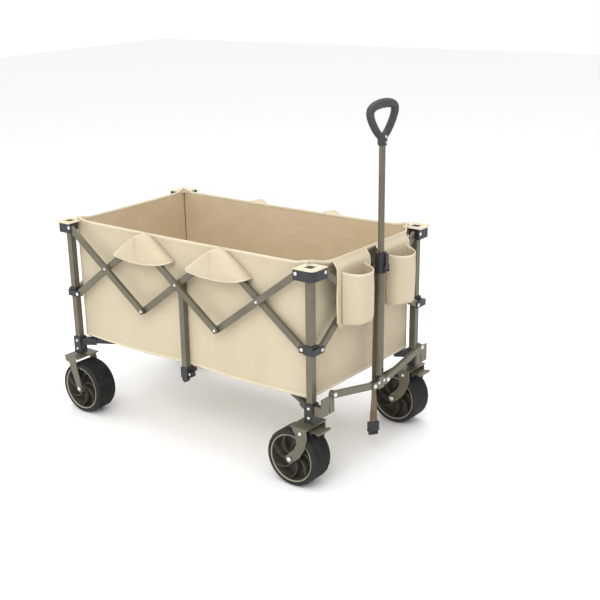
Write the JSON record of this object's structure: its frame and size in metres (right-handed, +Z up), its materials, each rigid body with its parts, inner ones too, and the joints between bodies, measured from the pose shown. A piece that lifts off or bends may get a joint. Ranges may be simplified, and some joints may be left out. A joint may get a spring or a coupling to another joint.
{
  "type": "folding beach cart",
  "caption": "Folding beach cart with a fabric basket on a scissor-link frame, wide wheels, front casters with foot brakes and a telescoping pull handle.",
  "frame": {"origin": "centre of the cart's bounding box in plan, on the floor", "axes": "+X towards the pull handle, +Y to the cart's left, +Z up"},
  "size_m": [1.1536, 0.6628, 1.111],
  "materials": {
    "painted_steel": "satin powder coat",
    "fitting_plastic": "fine texture",
    "trim_plastic": "fine texture",
    "tyre_rubber": "matte",
    "oxford_fabric": "woven",
    "webbing": "woven"
  },
  "bodies": {
    "corner_rear_right": {"post_rear_right": "painted_steel", "fitting_rear_right": "fitting_plastic", "rear_fork_right": "painted_steel", "basket": "oxford_fabric"},
    "corner_rear_left": {"post_rear_left": "painted_steel", "fitting_rear_left": "fitting_plastic", "rear_fork_left": "painted_steel"},
    "corner_front_right": {"post_front_right": "painted_steel", "fitting_front_right": "fitting_plastic"},
    "corner_front_left": {"post_front_left": "painted_steel", "fitting_front_left": "fitting_plastic"},
    "slider_rear_right": {"slider_rear_right": "fitting_plastic"},
    "slider_rear_left": {"slider_rear_left": "fitting_plastic"},
    "slider_front_right": {"slider_front_right": "fitting_plastic"},
    "slider_front_left": {"slider_front_left": "fitting_plastic"},
    "right_link_1a": {"right_link_1a": "painted_steel"},
    "right_link_1b": {"right_link_1b": "painted_steel"},
    "right_link_2a": {"right_link_2a": "painted_steel"},
    "right_link_2b": {"right_link_2b": "painted_steel"},
    "right_link_3a": {"right_link_3a": "painted_steel"},
    "right_link_3b": {"right_link_3b": "painted_steel"},
    "left_link_1a": {"left_link_1a": "painted_steel"},
    "left_link_1b": {"left_link_1b": "painted_steel"},
    "left_link_2a": {"left_link_2a": "painted_steel"},
    "left_link_2b": {"left_link_2b": "painted_steel"},
    "left_link_3a": {"left_link_3a": "painted_steel"},
    "left_link_3b": {"left_link_3b": "painted_steel"},
    "rear_link_1a": {"rear_link_1a": "painted_steel"},
    "rear_link_1b": {"rear_link_1b": "painted_steel"},
    "rear_link_2a": {"rear_link_2a": "painted_steel"},
    "rear_link_2b": {"rear_link_2b": "painted_steel"},
    "front_link_1a": {"front_link_1a": "painted_steel"},
    "front_link_1b": {"front_link_1b": "painted_steel"},
    "front_link_2a": {"front_link_2a": "painted_steel"},
    "front_link_2b": {"front_link_2b": "painted_steel"},
    "mid_post_right": {"mid_post_right": "painted_steel"},
    "caster_right": {"caster_fork_right": "painted_steel"},
    "brake_pedal_right": {"brake_pedal_right": "painted_steel"},
    "wheel_rear_right": {"wheel_rear_right": "tyre_rubber"},
    "wheel_front_right": {"wheel_front_right": "tyre_rubber"},
    "yoke_arm_right": {"yoke_arm_right": "painted_steel"},
    "mid_post_left": {"mid_post_left": "painted_steel"},
    "caster_left": {"caster_fork_left": "painted_steel"},
    "brake_pedal_left": {"brake_pedal_left": "painted_steel"},
    "wheel_rear_left": {"wheel_rear_left": "tyre_rubber"},
    "wheel_front_left": {"wheel_front_left": "tyre_rubber"},
    "yoke_arm_left": {"yoke_arm_left": "painted_steel"},
    "yoke_hub": {"yoke_hub": "painted_steel"},
    "handle": {"handle_lower_tube": "painted_steel", "handle_collar": "trim_plastic"},
    "handle_upper": {"handle_upper_tube": "painted_steel", "handle_grip": "trim_plastic"},
    "collar_lever": {"collar_lever": "trim_plastic"},
    "front_strap": {"strap": "webbing", "strap_buckle": "trim_plastic"},
    "floor_arm_rear_right": {"floor_arm_rear_right": "trim_plastic"},
    "floor_arm_rear_left": {"floor_arm_rear_left": "trim_plastic"},
    "floor_arm_front_right": {"floor_arm_front_right": "trim_plastic"},
    "floor_arm_front_left": {"floor_arm_front_left": "trim_plastic"}
  },
  "joints": [
    {"name": "fold", "type": "hinge", "parent": "corner_rear_right", "child": "right_link_1a", "pos_m": [-0.48985, -0.28, 0.661], "axis": [0, 1, 0], "range_deg": [0, 40], "deforming": ["basket"]},
    {"name": "right_1b_turn", "type": "hinge", "parent": "right_link_1a", "child": "right_link_1b", "pos_m": [-0.33252, -0.28, 0.544], "axis": [0, 1, 0], "range_deg": [-80, 0]},
    {"name": "right_2b_turn", "type": "hinge", "parent": "right_link_1a", "child": "right_link_2b", "pos_m": [-0.17518, -0.28, 0.427], "axis": [0, 1, 0], "range_deg": [-80, 0]},
    {"name": "right_2a_turn", "type": "hinge", "parent": "right_link_1b", "child": "right_link_2a", "pos_m": [-0.17518, -0.28, 0.661], "axis": [0, 1, 0], "range_deg": [0, 80]},
    {"name": "right_3b_turn", "type": "hinge", "parent": "right_link_2a", "child": "right_link_3b", "pos_m": [0.13948, -0.28, 0.427], "axis": [0, 1, 0], "range_deg": [-80, 0]},
    {"name": "right_3a_turn", "type": "hinge", "parent": "right_link_2b", "child": "right_link_3a", "pos_m": [0.13948, -0.28, 0.661], "axis": [0, 1, 0], "range_deg": [0, 80]},
    {"name": "right_mid_post_turn", "type": "hinge", "parent": "right_link_2a", "child": "mid_post_right", "pos_m": [-0.01785, -0.28, 0.544], "axis": [0, 1, 0], "range_deg": [-40, 0]},
    {"name": "rear_right_slider_turn", "type": "hinge", "parent": "right_link_1b", "child": "slider_rear_right", "pos_m": [-0.48985, -0.28, 0.427], "axis": [0, 1, 0], "range_deg": [0, 40]},
    {"name": "front_right_slider_turn", "type": "hinge", "parent": "right_link_3a", "child": "slider_front_right", "pos_m": [0.45415, -0.28, 0.427], "axis": [0, 1, 0], "range_deg": [-40, 0]},
    {"name": "front_right_corner_turn", "type": "hinge", "parent": "right_link_3b", "child": "corner_front_right", "pos_m": [0.45415, -0.28, 0.661], "axis": [0, 1, 0], "range_deg": [0, 40]},
    {"name": "rear_1a_turn", "type": "hinge", "parent": "corner_rear_right", "child": "rear_link_1a", "pos_m": [-0.51785, -0.252, 0.661], "axis": [1, 0, 0], "range_deg": [-40, 0]},
    {"name": "rear_1b_turn", "type": "hinge", "parent": "rear_link_1a", "child": "rear_link_1b", "pos_m": [-0.51785, -0.09467, 0.544], "axis": [1, 0, 0], "range_deg": [0, 80]},
    {"name": "rear_2a_turn", "type": "hinge", "parent": "rear_link_1a", "child": "rear_link_2a", "pos_m": [-0.51785, 0, 0.4736], "axis": [1, 0, 0], "range_deg": [0, 80]},
    {"name": "rear_2b_turn", "type": "hinge", "parent": "rear_link_2a", "child": "rear_link_2b", "pos_m": [-0.51785, 0.09467, 0.544], "axis": [1, 0, 0], "range_deg": [-80, 0]},
    {"name": "rear_left_corner_turn", "type": "hinge", "parent": "rear_link_2a", "child": "corner_rear_left", "pos_m": [-0.51785, 0.252, 0.661], "axis": [1, 0, 0], "range_deg": [-40, 0]},
    {"name": "rear_left_slider_turn", "type": "hinge", "parent": "rear_link_2b", "child": "slider_rear_left", "pos_m": [-0.51785, 0.252, 0.427], "axis": [1, 0, 0], "range_deg": [0, 40]},
    {"name": "left_1a_turn", "type": "hinge", "parent": "corner_rear_left", "child": "left_link_1a", "pos_m": [-0.48985, 0.28, 0.661], "axis": [0, 1, 0], "range_deg": [0, 40]},
    {"name": "left_1b_turn", "type": "hinge", "parent": "left_link_1a", "child": "left_link_1b", "pos_m": [-0.33252, 0.28, 0.544], "axis": [0, 1, 0], "range_deg": [-80, 0]},
    {"name": "left_2b_turn", "type": "hinge", "parent": "left_link_1a", "child": "left_link_2b", "pos_m": [-0.17518, 0.28, 0.427], "axis": [0, 1, 0], "range_deg": [-80, 0]},
    {"name": "left_2a_turn", "type": "hinge", "parent": "left_link_1b", "child": "left_link_2a", "pos_m": [-0.17518, 0.28, 0.661], "axis": [0, 1, 0], "range_deg": [0, 80]},
    {"name": "left_3b_turn", "type": "hinge", "parent": "left_link_2a", "child": "left_link_3b", "pos_m": [0.13948, 0.28, 0.427], "axis": [0, 1, 0], "range_deg": [-80, 0]},
    {"name": "left_3a_turn", "type": "hinge", "parent": "left_link_2b", "child": "left_link_3a", "pos_m": [0.13948, 0.28, 0.661], "axis": [0, 1, 0], "range_deg": [0, 80]},
    {"name": "left_mid_post_turn", "type": "hinge", "parent": "left_link_2a", "child": "mid_post_left", "pos_m": [-0.01785, 0.28, 0.544], "axis": [0, 1, 0], "range_deg": [-40, 0]},
    {"name": "front_1a_turn", "type": "hinge", "parent": "corner_front_right", "child": "front_link_1a", "pos_m": [0.48215, -0.252, 0.661], "axis": [1, 0, 0], "range_deg": [-40, 0]},
    {"name": "front_1b_turn", "type": "hinge", "parent": "front_link_1a", "child": "front_link_1b", "pos_m": [0.48215, -0.09467, 0.544], "axis": [1, 0, 0], "range_deg": [0, 80]},
    {"name": "front_2a_turn", "type": "hinge", "parent": "front_link_1a", "child": "front_link_2a", "pos_m": [0.48215, 0, 0.4736], "axis": [1, 0, 0], "range_deg": [0, 80]},
    {"name": "front_2b_turn", "type": "hinge", "parent": "front_link_2a", "child": "front_link_2b", "pos_m": [0.48215, 0.09467, 0.544], "axis": [1, 0, 0], "range_deg": [-80, 0]},
    {"name": "front_left_corner_turn", "type": "hinge", "parent": "front_link_2a", "child": "corner_front_left", "pos_m": [0.48215, 0.252, 0.661], "axis": [1, 0, 0], "range_deg": [-40, 0]},
    {"name": "front_left_slider_turn", "type": "hinge", "parent": "front_link_2b", "child": "slider_front_left", "pos_m": [0.48215, 0.252, 0.427], "axis": [1, 0, 0], "range_deg": [0, 40]},
    {"name": "strap_hang", "type": "hinge", "parent": "front_link_1b", "child": "front_strap", "pos_m": [0.48215, 0, 0.6144], "axis": [1, 0, 0], "range_deg": [-40, 0]},
    {"name": "yoke_right_turn", "type": "hinge", "parent": "corner_front_right", "child": "yoke_arm_right", "pos_m": [0.53315, -0.24, 0.292], "axis": [1, 0, 0], "range_deg": [-71.6, 0]},
    {"name": "yoke_hub_turn", "type": "hinge", "parent": "yoke_arm_right", "child": "yoke_hub", "pos_m": [0.53315, -0.036, 0.25], "axis": [1, 0, 0], "range_deg": [0, 71.6]},
    {"name": "yoke_left_turn", "type": "hinge", "parent": "corner_front_left", "child": "yoke_arm_left", "pos_m": [0.53315, 0.24, 0.292], "axis": [1, 0, 0], "range_deg": [0, 71.6]},
    {"name": "floor_arm_rear_right_turn", "type": "hinge", "parent": "corner_rear_right", "child": "floor_arm_rear_right", "pos_m": [-0.47248, -0.25459, 0.248], "axis": [0.4886, -0.8725, 0], "range_deg": [0, 80]},
    {"name": "floor_arm_rear_left_turn", "type": "hinge", "parent": "corner_rear_left", "child": "floor_arm_rear_left", "pos_m": [-0.47248, 0.25459, 0.248], "axis": [-0.4886, -0.8725, 0], "range_deg": [0, 80]},
    {"name": "floor_arm_front_right_turn", "type": "hinge", "parent": "corner_front_right", "child": "floor_arm_front_right", "pos_m": [0.43678, -0.25459, 0.248], "axis": [0.4886, 0.8725, 0], "range_deg": [0, 80]},
    {"name": "floor_arm_front_left_turn", "type": "hinge", "parent": "corner_front_left", "child": "floor_arm_front_left", "pos_m": [0.43678, 0.25459, 0.248], "axis": [-0.4886, 0.8725, 0], "range_deg": [0, 80]},
    {"name": "handle_tilt", "type": "hinge", "parent": "yoke_hub", "child": "handle", "pos_m": [0.53315, 0, 0.288], "axis": [0, 1, 0], "range_deg": [0, 90]},
    {"name": "handle_slide", "type": "slide", "parent": "handle", "child": "handle_upper", "axis": [0, 0, 1], "range_m": [-0.27, 0]},
    {"name": "lever_turn", "type": "hinge", "parent": "handle", "child": "collar_lever", "pos_m": [0.55335, 0, 0.616], "axis": [0, 1, 0], "range_deg": [0, 100]},
    {"name": "caster_right_swivel", "type": "hinge", "parent": "corner_front_right", "child": "caster_right", "pos_m": [0.48215, -0.28, 0.201], "axis": [0, 0, 1], "continuous": true},
    {"name": "wheel_front_right_spin", "type": "hinge", "parent": "caster_right", "child": "wheel_front_right", "pos_m": [0.43415, -0.28, 0.09], "axis": [0, 1, 0], "continuous": true},
    {"name": "brake_right_turn", "type": "hinge", "parent": "caster_right", "child": "brake_pedal_right", "pos_m": [0.47415, -0.28, 0.182], "axis": [0, 1, 0], "range_deg": [0, 12]},
    {"name": "wheel_rear_right_spin", "type": "hinge", "parent": "corner_rear_right", "child": "wheel_rear_right", "pos_m": [-0.48685, -0.28, 0.09], "axis": [0, 1, 0], "continuous": true},
    {"name": "caster_left_swivel", "type": "hinge", "parent": "corner_front_left", "child": "caster_left", "pos_m": [0.48215, 0.28, 0.201], "axis": [0, 0, 1], "continuous": true},
    {"name": "wheel_front_left_spin", "type": "hinge", "parent": "caster_left", "child": "wheel_front_left", "pos_m": [0.43415, 0.28, 0.09], "axis": [0, 1, 0], "continuous": true},
    {"name": "brake_left_turn", "type": "hinge", "parent": "caster_left", "child": "brake_pedal_left", "pos_m": [0.47415, 0.28, 0.182], "axis": [0, 1, 0], "range_deg": [0, 12]},
    {"name": "wheel_rear_left_spin", "type": "hinge", "parent": "corner_rear_left", "child": "wheel_rear_left", "pos_m": [-0.48685, 0.28, 0.09], "axis": [0, 1, 0], "continuous": true}
  ],
  "couplings": [
    {"joint": "right_1b_turn", "follows": "fold", "ratio": -2},
    {"joint": "right_2b_turn", "follows": "fold", "ratio": -2},
    {"joint": "right_2a_turn", "follows": "fold", "ratio": 2},
    {"joint": "right_3b_turn", "follows": "fold", "ratio": -2},
    {"joint": "right_3a_turn", "follows": "fold", "ratio": 2},
    {"joint": "right_mid_post_turn", "follows": "fold", "ratio": -1},
    {"joint": "rear_right_slider_turn", "follows": "fold", "ratio": 1},
    {"joint": "front_right_slider_turn", "follows": "fold", "ratio": -1},
    {"joint": "front_right_corner_turn", "follows": "fold", "ratio": 1},
    {"joint": "rear_1a_turn", "follows": "fold", "ratio": -1},
    {"joint": "rear_1b_turn", "follows": "fold", "ratio": 2},
    {"joint": "rear_2a_turn", "follows": "fold", "ratio": 2},
    {"joint": "rear_2b_turn", "follows": "fold", "ratio": -2},
    {"joint": "rear_left_corner_turn", "follows": "fold", "ratio": -1},
    {"joint": "rear_left_slider_turn", "follows": "fold", "ratio": 1},
    {"joint": "left_1a_turn", "follows": "fold", "ratio": 1},
    {"joint": "left_1b_turn", "follows": "fold", "ratio": -2},
    {"joint": "left_2b_turn", "follows": "fold", "ratio": -2},
    {"joint": "left_2a_turn", "follows": "fold", "ratio": 2},
    {"joint": "left_3b_turn", "follows": "fold", "ratio": -2},
    {"joint": "left_3a_turn", "follows": "fold", "ratio": 2},
    {"joint": "left_mid_post_turn", "follows": "fold", "ratio": -1},
    {"joint": "front_1a_turn", "follows": "fold", "ratio": -1},
    {"joint": "front_1b_turn", "follows": "fold", "ratio": 2},
    {"joint": "front_2a_turn", "follows": "fold", "ratio": 2},
    {"joint": "front_2b_turn", "follows": "fold", "ratio": -2},
    {"joint": "front_left_corner_turn", "follows": "fold", "ratio": -1},
    {"joint": "front_left_slider_turn", "follows": "fold", "ratio": 1},
    {"joint": "strap_hang", "follows": "fold", "ratio": -1},
    {"joint": "yoke_right_turn", "follows": "fold", "ratio": -1.79},
    {"joint": "yoke_hub_turn", "follows": "fold", "ratio": 1.79},
    {"joint": "yoke_left_turn", "follows": "fold", "ratio": 1.79},
    {"joint": "floor_arm_rear_right_turn", "follows": "fold", "ratio": 2},
    {"joint": "floor_arm_rear_left_turn", "follows": "fold", "ratio": 2},
    {"joint": "floor_arm_front_right_turn", "follows": "fold", "ratio": 2},
    {"joint": "floor_arm_front_left_turn", "follows": "fold", "ratio": 2}
  ]
}
